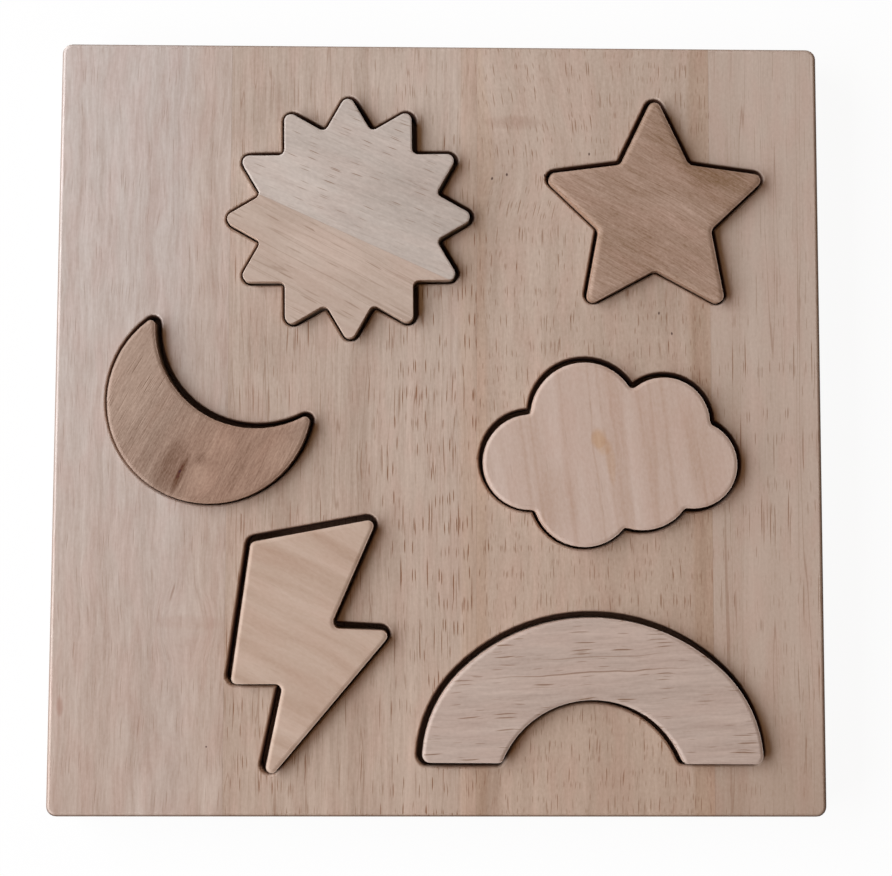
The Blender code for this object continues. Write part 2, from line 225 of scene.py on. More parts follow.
class StageSettings(PropertyGroup):
    camera_place: place("Camera", "Where the camera stands", (-0.0049, -0.0422, 0.5563))
    camera_turn: FloatVectorProperty(
        name="Camera turn",
        description="How the camera is turned",
        subtype="EULER",
        unit="ROTATION",
        size=3,
        default=(math.radians(3.905), math.radians(-0.815), math.radians(0.181)),
    )
    lens: FloatProperty(
        name="Lens", description="Focal length on a 36 mm sensor", subtype="DISTANCE_CAMERA", default=56.5
    )
    window_place: place("Window", "Where the large soft light hangs", (-2.81, 0.10, 1.05))
    window_colour: colour("Window colour", "Colour of the soft light", (0.868, 0.919, 1.0))
    window_width: length("Window width", "Width of the soft light", 5.0)
    window_height: length("Window height", "Height of the soft light", 2.2)
    window_power: FloatProperty(
        name="Window power",
        description="Power of the soft light",
        subtype="POWER",
        unit="POWER",
        default=328.0,
    )
    room_light: FloatProperty(
        name="Room light", description="Even light from all round", min=0, default=0.18
    )
    room_colour: colour("Room colour", "Colour of the even light, warm from the walls", (1.0, 0.52, 0.18))
    floor_size: length("Floor size", "Width and depth of the floor", 8.0)
    floor_colour: colour("Floor", "Colour of the plain floor", (0.93, 0.93, 0.93))
    floor_glow: FloatProperty(
        name="Floor whiteness",
        description="How far the floor is shown as plain white",
        min=0,
        max=1,
        default=0.94,
    )


class Signal:
    """What a node gives out. Python's operators on numbers of this kind add Math nodes."""

    def __init__(self, shader, socket):
        self.shader = shader
        self.socket = socket

    def other(self, output):
        """Another output of the same node."""
        return Signal(self.shader, self.socket.node.outputs[output])

    def maths(self, operation, *values):
        """A Math node on these values."""
        return self.shader.add("ShaderNodeMath", {"operation": operation}, dict(enumerate(values)))

    def __add__(self, other):
        return self.maths("ADD", self, other)

    def __sub__(self, other):
        return self.maths("SUBTRACT", self, other)

    def __rsub__(self, other):
        return self.maths("SUBTRACT", other, self)

    def __mul__(self, other):
        return self.maths("MULTIPLY", self, other)

    def __truediv__(self, other):
        return self.maths("DIVIDE", self, other)

    def __abs__(self):
        return self.maths("ABSOLUTE", self)

    __radd__ = __add__
    __rmul__ = __mul__


class Shader:
    """A material or a world, and the one way that nodes are added to it."""

    def __init__(self, owner):
        self.owner = owner
        owner.use_nodes = True
        self.tree = owner.node_tree
        self.tree.nodes.clear()

    def add(self, kind, settings, inputs, output=0):
        """A node of a kind, with its settings and with the values or links of its inputs."""
        node = self.tree.nodes.new(kind)
        for name, value in settings.items():
            setattr(node, name, value)
        for key, value in inputs.items():
            if isinstance(value, Signal):
                self.tree.links.new(value.socket, node.inputs[key])
            else:
                node.inputs[key].default_value = value
        return Signal(self, node.outputs[output]) if node.outputs else None

    def ramp(self, value, start, end):
        """0 where the value is at the start or before it, 1 from the end on, and a smooth step between."""
        ends = {1: start, 2: end, 3: 0.0, 4: 1.0}
        return self.add("ShaderNodeMapRange", {"interpolation_type": "SMOOTHSTEP"}, {0: value, **ends})

    def mix(self, amount, first, second, **settings):
        """Two colours, mixed, or joined as the node's settings say."""
        ends = [end if isinstance(end, Signal) else (*end, 1) for end in (first, second)]
        settings = {"data_type": "RGBA", **settings}
        return self.add("ShaderNodeMix", settings, {0: amount, 6: ends[0], 7: ends[1]}, 2)

    def shade(self, tone, pale_wood, dark_wood):
        """A colour between the pale one, for a tone of 0, and the dark, for 1, or a little outside them."""
        return self.mix(tone, pale_wood, dark_wood, clamp_factor=False)

    def tint(self, amount, base, filter_colour):
        """A colour seen through another, as far as the amount goes."""
        return self.mix(amount, base, filter_colour, blend_type="MULTIPLY")


class Wood(Shader):
    """Sanded wood. Its patterns are measured in millimetres along the grain, across it and up."""

    def __init__(self, name, centre, heading):
        super().__init__(bpy.data.materials.new(name))
        self.centre = centre
        self.heading = heading
        self.seed = 0
        self.place = self.add("ShaderNodeTexCoord", {}, {}, "Object")
        turned = self.add(
            "ShaderNodeMapping",
            {"vector_type": "TEXTURE"},
            {
                "Vector": self.place,
                "Location": (*centre, 0),
                "Rotation": (0, 0, heading),
                "Scale": (MILLIMETRE,) * 3,
            },
        )
        self.along = self.add("ShaderNodeSeparateXYZ", {}, {0: turned})
        self.across = self.along.other("Y")
        self.up = self.along.other("Z")
        self.facing = self.add("ShaderNodeSeparateXYZ", {}, {0: self.place.other("Normal")}, "Z")
        # 1 where the surface has turned well away from level: rims, rounded edges and sides.
        self.edge = self.ramp(abs(self.facing), 0.97, 0.70)

    def spot(self, x, y):
        """Where a point, in millimetres from the board's middle, lies along and across this grain."""
        offset = Vector((x, y)) - Vector(self.centre) / MILLIMETRE
        along = Vector((math.cos(self.heading), math.sin(self.heading)))
        return offset.dot(along), along.cross(offset)

    def stretched(self, span, width):
        """Coordinates that run one unit for each span along the grain and each width across it."""
        self.seed += SEED_STEP
        along = self.along / span + self.seed
        return self.add("ShaderNodeCombineXYZ", {}, {0: along, 1: self.across / width, 2: self.up / width})

    def noise(self, span, width, detail=1.0, roughness=0.5):
        """A pattern of about -1 to 1, as long along the grain as span and as wide as width."""
        raw = self.add(
            "ShaderNodeTexNoise",
            {},
            {"Vector": self.stretched(span, width), "Scale": 1.0, "Detail": detail, "Roughness": roughness},
        )
        return (raw - 0.5) * 4.0

    def sway(self, amount, span, width):
        """Lets the grain wander sideways."""
        self.across = self.across + self.noise(span, width) * amount

    def lean(self, x, y, span, width, slope):
        """Turns the grain aside round a point: slope is how far across it runs for each millimetre along."""
        along = self.spot(x, y)[0]
        self.across = self.across - (self.along - along) * slope * self.patch(x, y, span, width)

    def bulge(self, x, y, span, width, amount):
        """Leads the grain round a knot: amount is how far the lines there are pushed apart, up to 1."""
        along, across = self.spot(x, y)
        aside = self.across - across
        ahead = (self.along - along) / span
        reach = ahead * ahead + (aside / width) * (aside / width)
        self.across = self.across - aside * (amount * self.ramp(reach, 1.0, 0.0))

    def fibres(self, span, width):
        """The fine streaks of the grain, from width down to a quarter of it."""
        return self.noise(span, width, 2.0, 0.85)

    def mottle(self):
        """The fine cloudiness of sanded wood, nearly as wide as it is long."""
        return self.noise(1.6, 1.0)

    def lines(self, span, width, thickness):
        """Thin lines that follow the grain where a slow pattern turns."""
        return self.ramp(abs(self.noise(span, width)), thickness, 0.0)

    def strokes(self, span, width, share):
        """Short dashes along the grain, in a share of the cells of a stretched grid, some fainter."""
        distance = self.add(
            "ShaderNodeTexVoronoi",
            {},
            {"Vector": self.stretched(span, width), "Scale": 1.0, "Randomness": 1.0},
        )
        chance = self.add("ShaderNodeSeparateColor", {}, {0: distance.other("Color")})
        dashes = self.ramp(distance, STROKE_REACH, STROKE_REACH * STROKE_CORE)
        return dashes * self.ramp(chance, 1 - share, 1 - share / 3)

    def stripe(self, x, y, width, softness):
        """A stripe along the grain through a point of the board."""
        across = self.spot(x, y)[1]
        return self.ramp(abs(self.across - across), width / 2 + softness, width / 2)

    def patch(self, x, y, span, width):
        """A soft oval round a point of the board: it reaches span along the grain and width across it."""
        along, across = self.spot(x, y)
        ahead = (self.along - along) / span
        aside = (self.across - across) / width
        return self.ramp(ahead * ahead + aside * aside, 1.0, 0.0)

    def shading(self, *patches):
        """Soft ovals added up, each as (x, y, span, width, amount)."""
        total = 0.0
        for x, y, span, width, amount in patches:
            total = total + self.patch(x, y, span, width) * amount
        return total

    def inside_board(self):
        """1 for what lies inside the board's sides, but not for its underside."""
        x = self.add("ShaderNodeSeparateXYZ", {}, {0: self.place})
        inside = self.ramp(abs(x), CAD_HIGH.x, CAD_HIGH.x - MILLIMETRE)
        inside = inside * self.ramp(abs(x.other("Y")), CAD_HIGH.y, CAD_HIGH.y - MILLIMETRE)
        return inside * self.ramp(self.facing, -0.9, -0.5)

    def below_top(self, start, end):
        """0 at one depth below the board's top, in millimetres, and 1 at another."""
        height = self.add("ShaderNodeSeparateXYZ", {}, {0: self.place}, "Z")
        return self.ramp(height, BOARD_TOP - start * MILLIMETRE, BOARD_TOP - end * MILLIMETRE)

    def clouds(self):
        """Soft clouds a few millimetres wide."""
        return self.ramp(self.noise(22, 7), -0.5, 0.9)

    def finish(self, base, roughness, fibres, strokes, depth=RELIEF_DEPTH):
        """The surface itself: fibres stand up and strokes are sunk, within a depth in millimetres."""
        relief = 0.5 + fibres * FIBRE_RELIEF - strokes * STROKE_RELIEF
        bump = self.add(
            "ShaderNodeBump", {}, {"Height": relief, "Distance": depth * MILLIMETRE, "Strength": 1.0}
        )
        surface = self.add(
            "ShaderNodeBsdfPrincipled",
            {},
            {
                "Base Color": base,
                "Roughness": roughness + fibres * FIBRE_ROUGHNESS,
                "Normal": bump,
                "Metallic": 0.0,
                "Specular IOR Level": SPECULAR,
            },
        )
        self.add("ShaderNodeOutputMaterial", {}, {"Surface": surface})
        return self.owner


def wood_of(node, heading):
    """The wood of one CAD node, its grain measured from the node's middle."""
    low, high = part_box(node)
    return Wood(node + "_wood", ((low.x + high.x) / 2, (low.y + high.y) / 2), heading)


def join_faces(shape):
    """Joins the faces and edges that run on in one plane or one line."""
    bmesh.ops.dissolve_limit(
        shape, angle_limit=MERGE_ANGLE, use_dissolve_boundaries=False, verts=shape.verts, edges=shape.edges
    )


def merged_copy(node):
    """A bmesh of a CAD node's shape with its loose triangles joined up."""
    shape = bmesh.new()
    shape.from_mesh(frame["nodes"][node].data)
    bmesh.ops.remove_doubles(shape, verts=shape.verts, dist=MERGE_DISTANCE)
    join_faces(shape)
    return shape


def even_normals(shape):
    """A normal for each corner of each face: level and upright faces shade flat beside a rounded edge."""
    shape.normal_update()
    normals = []
    for face in shape.faces:
        for corner in face.loops:
            near = [
                other
                for other in corner.vert.link_loops
                if other.face.normal.dot(face.normal) > math.cos(CREASE)
            ]
            level = [other for other in near if abs(other.face.normal.z) > LEVEL]
            upright = [other for other in near if abs(other.face.normal.z) < UPRIGHT]
            total = Vector()
            for other in level or upright or near:
                total += other.face.normal * other.calc_angle()
            normals.append(total.normalized())
    return normals


def dressed(node, body, shape, material):
    """An object from a bmesh that stands for a CAD node and rides on its body."""
    name = node + "_wood"
    normals = even_normals(shape)
    mesh = bpy.data.meshes.new(name)
    shape.to_mesh(mesh)
    shape.free()
    mesh.materials.append(material)
    mesh.shade_smooth()
    mesh.normals_split_custom_set(normals)
    piece = bpy.data.objects.new(name, mesh)
    bpy.context.scene.collection.objects.link(piece)
    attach(piece, body)
    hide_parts(node)
    return piece


def filled_outline(node):
    """A figure's outline at half its height as one face at its foot, and the ends of its longest edge."""
    low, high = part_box(node)
    shape = merged_copy(node)
    everything = shape.verts[:] + shape.edges[:] + shape.faces[:]
    middle = (low + high) / 2
    bmesh.ops.bisect_plane(
        shape, geom=everything, plane_co=middle, plane_no=(0, 0, 1), clear_inner=True, clear_outer=True
    )
    join_faces(shape)
    longest = max(shape.edges, key=lambda edge: edge.calc_length())
    ends = [Vector(vertex.co.xy) for vertex in longest.verts]
    bmesh.ops.contextual_create(shape, geom=shape.edges[:])
    bmesh.ops.translate(shape, verts=shape.verts[:], vec=(0, 0, low.z - middle.z))
    return shape, ends


def rim_edges(shape, height, spared_ends):
    """The edges that run level at a height, but not between the spared ends."""
    rims = []
    for edge in shape.edges:
        if any(abs(vertex.co.z - height) > MERGE_DISTANCE for vertex in edge.verts):
            continue
        at_ends = [
            any((Vector(vertex.co.xy) - end).length < MERGE_DISTANCE for end in spared_ends)
            for vertex in edge.verts
        ]
        if not all(at_ends):
            rims.append(edge)
    return rims


def round_over(shape, rims, width, segments):
    """Bevels edges round, over a width and in a number of segments."""
    bmesh.ops.bevel(
        shape,
        geom=rims,
        offset=width,
        offset_type="OFFSET",
        segments=segments,
        profile=0.5,
        affect="EDGES",
        clamp_overlap=True,
        material=-1,
    )


def rounded_figure(node, crown_width, glued=False):
    """A figure drawn up from its outline. Its top falls off gently along the edge, then rounds over."""
    settings = bpy.context.scene.puzzle_figures
    drop = crown_width * settings.crown_fall
    low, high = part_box(node)
    shape, ends = filled_outline(node)
    spared = ends if glued else []
    raised = bmesh.ops.extrude_face_region(shape, geom=shape.faces[:])["geom"]
    top = [element for element in raised if isinstance(element, bmesh.types.BMVert)]
    bmesh.ops.translate(shape, verts=top, vec=(0, 0, high.z - low.z))
    bmesh.ops.recalc_face_normals(shape, faces=shape.faces[:])
    round_over(shape, rim_edges(shape, high.z, spared), crown_width, CROWN_SEGMENTS)
    brink = high.z - drop
    deepest = min(vertex.co.z for vertex in shape.verts if vertex.co.z > low.z + MERGE_DISTANCE)
    for vertex in shape.verts:
        if vertex.co.z > low.z + MERGE_DISTANCE:
            inward = (vertex.co.z - deepest) / (high.z - deepest)
            vertex.co.z = high.z - drop * (1 - inward * inward)
    rims = rim_edges(shape, brink, spared) + rim_edges(shape, low.z, spared)
    round_over(shape, rims, settings.edge_radius, settings.edge_segments)
    return shape


class PUZZLE_OT_board(Operator):
    """Dress the four glued staves of the board"""

    bl_idname = "puzzle.board"
    bl_label = "Board"

    def execute(self, context):
        settings = context.scene.puzzle_board
        self.left_stave(settings)
        self.inner_left_stave(settings)
        self.inner_right_stave(settings)
        self.right_stave(settings)
        return {"FINISHED"}

    def grain_of(self, node):
        """The wood of a stave, its grain up the board."""
        return wood_of(node, math.radians(90))

    def stave(self, node, wood, base, fibres, strokes, settings, foot=1.0):
        """Paints shade down a stave and in its pockets, darkens its rims (end grain and painted shade), and
        dresses it.
        """
        # Painted shade: darker and warmer towards the bottom of the board.
        base = wood.tint(wood.ramp(wood.along, HALF_LENGTH, -HALF_LENGTH) * foot, base, settings.foot_painted_shade)
        base = wood.tint(wood.clouds(), base, settings.blush)
        inside = wood.inside_board()
        # Figures rest against the foot of their pockets; there the rims and walls are spared most of the
        # edge darkening and painted shade.
        pocket_foot_walls = inside * wood.ramp(wood.facing.other("Y"), 0.05, 0.5)
        # End grain and painted shade: rims and sides darken, which tones down their bright edges.
        base = wood.tint(wood.edge * (1 - pocket_foot_walls * 0.7), base, settings.end_grain_and_painted_shade)
        # Painted shade in the pockets, deepening from 1.5 mm to 6 mm below the top.
        base = wood.tint(inside * wood.below_top(1.5, 6.0), base, settings.pocket_painted_shade)
        # Painted shade on the walls and rims in the top 0.7 mm of the pockets, darkening the gaps round the
        # figures.
        walls = inside * wood.below_top(0.0, 0.7) * wood.edge
        base = wood.tint(walls * (1 - pocket_foot_walls * 0.9), base, settings.gap_painted_shade)
        dressed(node, "board", merged_copy(node), wood.finish(base, BOARD_ROUGHNESS, fibres, strokes))

    def left_stave(self, settings):
        wood = self.grain_of("board_stave_left")
        wood.bulge(-97, -77, 18, 14, 0.45)
        wood.sway(1.6, 150, 30)
        wood.sway(0.8, 26, 14)
        fibres = wood.fibres(16, 1.7)
        tone = 0.33 + wood.noise(300, 9) * 0.22 + wood.noise(60, 4) * 0.25
        tone = tone + fibres * 0.5 + wood.mottle() * 0.16
        tone = tone + wood.ramp(wood.along, -115, -HALF_LENGTH) * 0.15
        tone = tone + wood.shading((-101.3, -64.7, 5, 0.5, 1.0), (-122, -105, 70, 18, 0.2))
        cross_figure = wood.shading((-94.2, -76.5, 3.4, 16, 0.8), (-90, -82, 8, 10, 0.5))
        # Bleached marks near the foot, and along the left edge a painted highlight where the rounded edge
        # faces the light.
        bleach_and_painted_highlight = wood.shading((-111.3, -143, 13, 4, 1.4), (-87.4, -142, 14, 5, 1.4))
        bleach_and_painted_highlight = bleach_and_painted_highlight + wood.stripe(-147, 0, 4, 6) * wood.ramp(wood.along, -40, 100) * 0.9
        base = wood.shade(tone - bleach_and_painted_highlight * 0.4, settings.left_pale, settings.left_dark)
        base = wood.mix(cross_figure * 0.2, base, settings.knot)
        foot = wood.ramp(wood.along, 20, -140)
        base = wood.tint(foot * (0.75 - wood.stripe(-92, 0, 14, 30) * 0.4), base, settings.warmth)
        base = wood.tint(wood.stripe(-86, 0, 10, 12) * (1 - foot * 0.25), base, settings.warmth)
        strokes = wood.strokes(14, 0.65, 0.5)
        base = wood.mix(strokes * 0.3, base, settings.stroke)
        base = wood.mix(wood.patch(-144.7, -108.4, 5, 1.8) * 0.5, base, settings.knot)
        base = wood.mix(wood.patch(-88.8, -123.5, 0.5, 0.5), base, settings.speck)
        self.stave("board_stave_left", wood, base, fibres, strokes, settings)

    def inner_left_stave(self, settings):
        wood = self.grain_of("board_stave_inner_left")
        wood.sway(1.0, 200, 40)
        wood.sway(0.3, 20, 8)
        fibres = wood.fibres(18, 1.4)
        tone = 0.25 + wood.noise(500, 10) * 0.28 + wood.noise(110, 1.8) * 0.22
        tone = tone + fibres * 0.46 + wood.mottle() * 0.2
        tone = tone + wood.stripe(-76, 0, 6, 10) * 0.1 - wood.stripe(-1, 0, 20, 8) * 0.4
        # The ovals at (4, 76) and (-61, -27) are painted shadow, beside the sun and the moon.
        tone = tone + wood.shading(
            (-21, 2, 50, 8, -0.35),
            (-21, 132, 22, 9, -0.4),
            (-66, 122, 16, 14, 0.3),
            (-64, 34, 20, 14, 0.3),
            (4, 76, 45, 14, 0.4),
            (-21, -108, 60, 9, -0.4),
            (-61, -27, 18, 11, 0.5),
        )
        base = wood.shade(tone, settings.inner_left_pale, settings.inner_left_dark)
        crowded = wood.ramp(wood.noise(90, 30) + wood.ramp(wood.across, 20, -40), -0.3, 1.2)
        strokes = wood.strokes(24, 0.8, 0.45) * 0.7 + wood.strokes(10, 0.7, 0.55) * (0.3 + crowded * 0.7)
        strokes = strokes * (0.5 + wood.ramp(wood.along, 150, 60) * 0.6 + wood.patch(0, -58, 40, 24) * 0.4)
        base = wood.mix(strokes, base, settings.stroke)
        base = wood.mix(wood.lines(160, 5, 0.03) * 0.4, base, settings.stroke)
        base = wood.tint(wood.stripe(12.5, 0, 5, 3), base, settings.warmth)
        self.stave("board_stave_inner_left", wood, base, fibres, strokes, settings)

    def inner_right_stave(self, settings):
        wood = self.grain_of("board_stave_inner_right")
        wood.lean(35, 128, 50, 45, 0.16)
        wood.sway(1.2, 160, 40)
        wood.sway(0.4, 16, 8)
        fibres = wood.fibres(16, 2.0)
        tone = 0.25 + wood.noise(300, 10) * 0.24 + wood.noise(80, 2.4) * 0.12
        tone = tone + fibres * 0.36 + wood.mottle() * 0.24
        cross_figure = wood.patch(28.2, 119.5, 3.4, 14)
        flecked = wood.patch(102.5, 40, 60, 5)
        brown = wood.stripe(102.5, 0, 6, 3)
        tone = tone + cross_figure * 0.25 + flecked * 0.3 + brown * 0.3
        tone = tone - wood.stripe(33, 0, 10, 8) * 0.2
        # The oval at (103, -8) is painted shadow beside the cloud.
        tone = tone + wood.shading(
            (20, 138, 30, 9, -0.45),
            (19, -143, 26, 7, 0.8),
            (18, 70, 45, 9, 0.4),
            (88, 48, 16, 12, 0.3),
            (103, -8, 36, 8, 0.4),
        )
        base = wood.shade(tone, settings.inner_right_pale, settings.inner_right_dark)
        base = wood.mix(cross_figure * 0.2, base, settings.knot)
        base = wood.tint(brown + wood.stripe(15.5, 0, 4, 3), base, settings.warmth)
        strokes = wood.strokes(11, 0.75, 0.45) * 0.7 + wood.strokes(5, 0.7, 0.5) * (0.5 + flecked * 0.5)
        base = wood.mix(strokes, base, settings.stroke)
        for x, y in ((23.5, 98.6), (38.0, 98.4), (57.0, 107.0), (18.5, 97.0), (91.0, 36.0), (86.0, 44.0)):
            base = wood.mix(wood.patch(x, y, 0.8, 0.5), base, settings.speck)
        self.stave("board_stave_inner_right", wood, base, fibres, strokes, settings)

    def right_stave(self, settings):
        wood = self.grain_of("board_stave_right")
        wood.sway(1.4, 220, 50)
        wood.sway(0.3, 30, 10)
        fibres = wood.fibres(40, 1.9)
        tone = 0.1 + wood.noise(700, 8) * 0.1 + wood.noise(200, 2.0) * 0.08
        tone = tone + fibres * 0.16 + wood.mottle() * 0.18
        tone = tone + wood.stripe(112, 0, 9, 5) * 0.25 + wood.ramp(wood.along, -95, -145) * 0.55
        # Painted shadow beside the cloud.
        tone = tone + wood.patch(112, -3, 24, 8) * 0.3
        base = wood.shade(tone, settings.right_pale, settings.right_dark)
        calm = wood.ramp(wood.along, 100, 20) * 0.35 + wood.patch(126, -5, 60, 30) * 0.35 + 0.35
        strokes = (wood.strokes(30, 0.8, 0.4) * 0.75 + wood.strokes(9, 0.7, 0.45) * 0.55) * calm
        base = wood.mix(strokes, base, settings.stroke)
        base = wood.mix(wood.lines(400, 6, 0.03) * 0.4, base, settings.stroke)
        self.stave("board_stave_right", wood, base, fibres, strokes, settings, 0.7)


class FigureOperator:
    """What the operators of the six figures share."""

    def surface(self, wood, base, fibres, strokes, depth=RELIEF_DEPTH):
        """Darkens a figure's edges and end grain, partly as painted shade, and gives its wood a sanded
        surface.
        """
        settings = bpy.context.scene.puzzle_figures
        base = wood.tint(wood.clouds(), base, settings.blush)
        # End grain and painted shade: rounded edges and sides darken, which tones down their highlights.
        base = wood.tint(wood.edge, base, settings.end_grain_and_painted_shade)
        return wood.finish(base, FIGURE_ROUGHNESS, fibres, strokes, depth)

    def figure(self, node, crown_width, surface):
        dressed(node, node, rounded_figure(node, crown_width), surface)


class PUZZLE_OT_sun(Operator, FigureOperator):
    """Dress the sun's two glued halves"""

    bl_idname = "puzzle.sun"
    bl_label = "Sun"

    def execute(self, context):
        settings = context.scene.puzzle_figures
        self.upper_half(settings)
        self.lower_half(settings)
        return {"FINISHED"}

    def half(self, node, crown_width, surface):
        dressed(node, "sun", rounded_figure(node, crown_width, glued=True), surface)

    def upper_half(self, settings):
        wood = wood_of("sun_upper_half", settings.sun_upper_grain)
        wood.sway(0.8, 90, 25)
        wood.sway(0.3, 14, 6)
        fibres = wood.fibres(14, 1.9)
        tone = 0.3 + wood.noise(200, 8) * 0.1 + wood.noise(50, 2.4) * 0.08
        tone = tone + fibres * 0.32 + wood.mottle() * 0.2
        tone = tone + wood.shading((-58, 94, 26, 16, -0.35), (-6, 88, 28, 18, 0.35))
        base = wood.shade(tone, settings.sun_upper_pale, settings.sun_upper_dark)
        crowded = wood.patch(-40, 108, 60, 32)
        strokes = wood.strokes(9, 0.65, 0.5) * (0.25 + crowded * 0.5)
        base = wood.mix(strokes, base, settings.stroke)
        base = wood.mix(wood.lines(160, 5, 0.03) * 0.2, base, settings.stroke)
        self.half("sun_upper_half", settings.sun_crown, self.surface(wood, base, fibres, strokes))

    def lower_half(self, settings):
        wood = wood_of("sun_lower_half", settings.sun_lower_grain)
        wood.sway(0.8, 90, 25)
        wood.sway(0.3, 20, 6)
        fibres = wood.fibres(26, 2.0)
        tone = 0.26 + wood.noise(200, 8) * 0.1 + wood.noise(70, 2.6) * 0.2
        tone = tone + fibres * 0.3 + wood.mottle() * 0.16
        tone = tone + wood.shading(
            (-61, 80, 26, 6, 0.15),
            (-66, 60, 14, 6, 0.2),
            (-46, 66, 22, 12, -0.4),
            (-20, 62, 34, 9, -0.15),
        )
        base = wood.shade(tone, settings.sun_lower_pale, settings.sun_lower_dark)
        strokes = wood.strokes(14, 1.1, 0.3) * 0.45
        base = wood.mix(strokes, base, settings.stroke)
        base = wood.mix(wood.lines(220, 3.5, 0.05) * 0.3, base, settings.stroke)
        self.half("sun_lower_half", settings.sun_crown, self.surface(wood, base, fibres, strokes))


class PUZZLE_OT_star(Operator, FigureOperator):
    """Dress the star"""

    bl_idname = "puzzle.star"
    bl_label = "Star"

    def execute(self, context):
        settings = context.scene.puzzle_figures
        wood = wood_of("star", settings.star_grain)
        wood.sway(2.0, 60, 25)
        fibres = wood.fibres(12, 0.8)
        tone = 0.3 + wood.noise(60, 16) * 0.12 + wood.noise(26, 3.6) * 0.14
        tone = tone + fibres * 0.5 + wood.noise(1.0, 0.6) * 0.26
        shaded = wood.shading(
            (102, 106, 34, 11, 0.5),
            (108, 94, 18, 12, 0.35),
            (94, 79, 18, 8, -0.3),
            (67, 74, 24, 14, 0.15),
        )
        rings = wood.lines(80, 2.6, 0.16) * wood.patch(84, 88, 26, 13) * 0.4
        base = wood.shade(tone + shaded + rings, settings.star_pale, settings.star_dark)
        strokes = wood.strokes(6, 0.7, 0.4) * 0.4
        base = wood.mix(strokes, base, settings.stroke)
        self.figure("star", settings.star_crown, self.surface(wood, base, fibres, strokes))
        return {"FINISHED"}


class PUZZLE_OT_moon(Operator, FigureOperator):
    """Dress the crescent moon"""

    bl_idname = "puzzle.moon"
    bl_label = "Moon"

    def execute(self, context):
        settings = context.scene.puzzle_figures
        wood = wood_of("moon", settings.moon_grain)
        wood.bulge(-90, -20, 12, 7, 0.5)
        wood.sway(1.6, 50, 22)
        fibres = wood.fibres(9, 1.1)
        tone = 0.34 + wood.noise(60, 12) * 0.05 + wood.noise(26, 3.4) * 0.1
        tone = tone + fibres * 0.36 + wood.noise(1.2, 0.7) * 0.24
        flame = wood.shading((-99.0, -20, 11, 1.8, 1.0), (-103.5, -18, 16, 7, 0.8))
        swirl = wood.shading((-91, -22, 9, 4.4, 1.0), (-84, -9, 8, 6, 0.7), (-90.5, -14.5, 3.4, 3, -1.2))
        dusk = wood.shading((-77.5, -18, 14, 3, 1.0), (-110, -10, 14, 4, 0.6))
        bare = wood.shading((-118, 16, 32, 14, 1.0), (-62, -12, 10, 7, 1.0))
        tone = tone + flame * 0.9 + dusk * 0.35 - swirl * 0.4 - bare * 0.3
        base = wood.shade(tone, settings.moon_pale, settings.moon_dark)
        base = wood.tint(wood.patch(-78, -20, 40, 36), base, settings.moon_warmth)
        crowded = wood.patch(-116, 8, 30, 16)
        strokes = wood.strokes(15, 0.65, 0.65) * (0.15 + crowded * 0.85)
        strokes = strokes + wood.strokes(24, 1.0, 0.6) * crowded * 0.6
        base = wood.mix(strokes * 0.6, base, settings.stroke)
        self.figure("moon", settings.moon_crown, self.surface(wood, base, fibres, strokes, 0.12))
        return {"FINISHED"}


class PUZZLE_OT_cloud(Operator, FigureOperator):
    """Dress the cloud"""

    bl_idname = "puzzle.cloud"
    bl_label = "Cloud"

    def execute(self, context):
        settings = context.scene.puzzle_figures
        wood = wood_of("cloud", settings.cloud_grain)
        wood.bulge(64.5, -8, 14, 7, 0.25)
        wood.sway(1.0, 120, 40)
        fibres = wood.fibres(30, 2.4)
        tone = 0.24 + wood.noise(260, 13) * 0.3 + wood.noise(60, 4) * 0.08
        tone = tone + fibres * 0.14 + wood.mottle() * 0.16
        tone = tone + wood.shading((47, -29, 18, 9, 0.35), (102, -12, 36, 9, 0.35))
        rings = wood.lines(300, 11, 0.2) * 0.32
        knot = wood.shading(
            (62.4, -5.2, 4.8, 3.4, 1.0),
            (64.4, -8.4, 4.4, 2.8, 0.6),
            (67.0, -15, 10, 2, 0.5),
        )
        base = wood.shade(tone + rings, settings.cloud_pale, settings.cloud_dark)
        base = wood.tint(knot, base, settings.cloud_knot)
        strokes = wood.strokes(10, 0.9, 0.15) * 0.16
        base = wood.mix(strokes, base, settings.stroke)
        self.figure("cloud", settings.cloud_crown, self.surface(wood, base, fibres, strokes))
        return {"FINISHED"}


class PUZZLE_OT_bolt(Operator, FigureOperator):
    """Dress the lightning bolt"""

    bl_idname = "puzzle.bolt"
    bl_label = "Lightning bolt"

    def execute(self, context):
        settings = context.scene.puzzle_figures
        wood = wood_of("lightning_bolt", settings.bolt_grain)
        wood.sway(2.0, 60, 30)
        fibres = wood.fibres(24, 2.6)
        tone = 0.33 + wood.noise(120, 9) * 0.52 + wood.noise(40, 4) * 0.26
        tone = tone + fibres * 0.18 + wood.mottle() * 0.12
        base = wood.shade(tone, settings.bolt_pale, settings.bolt_dark)
        strokes = wood.strokes(8, 0.9, 0.12) * 0.1
        base = wood.mix(strokes, base, settings.stroke)
        self.figure("lightning_bolt", settings.bolt_crown, self.surface(wood, base, fibres, strokes))
        return {"FINISHED"}


